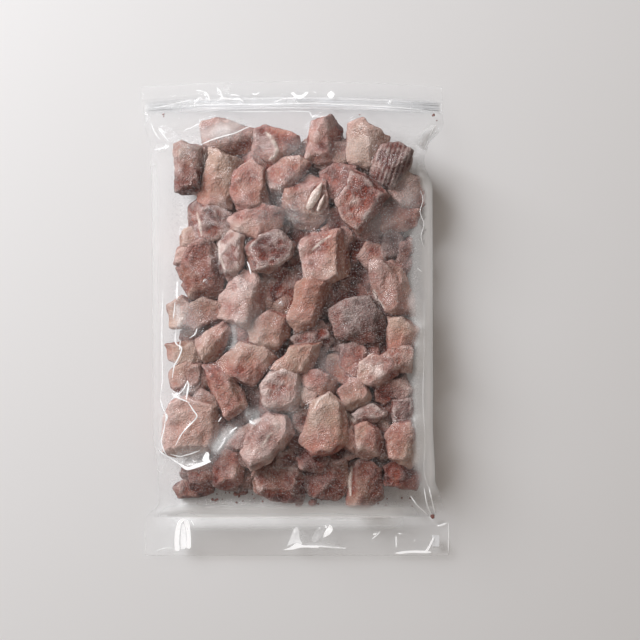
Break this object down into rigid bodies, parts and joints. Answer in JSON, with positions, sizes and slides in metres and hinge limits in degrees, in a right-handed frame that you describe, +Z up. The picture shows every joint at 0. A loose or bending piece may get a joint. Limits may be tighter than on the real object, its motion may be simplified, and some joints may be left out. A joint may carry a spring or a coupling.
{
  "type": "zip bag of frozen diced beef",
  "caption": "Clear side-gusseted zip bag, lying flat, packed with frosted frozen beef dice; flat header with a zip, flat welded foot.",
  "frame": {"origin": "middle of the bag's bounding box, on the surface that it lies on", "axes": "+X across the bag, to the right as seen from above with the zip away from the viewer; +Y along the bag towards the zip; +Z up"},
  "size_m": [0.2031, 0.312, 0.0384],
  "materials": {
    "film": "clear glossy film with a light frost inside",
    "beef": "frozen raw beef with a dry bloom of frost",
    "zip": "translucent moulded strip",
    "print": "plain white patch"
  },
  "bodies": {
    "root": {"bag_of_diced_beef": "beef", "zip_groove_strip": "zip", "zip_rib_strip": "zip"}
  },
  "joints": []
}
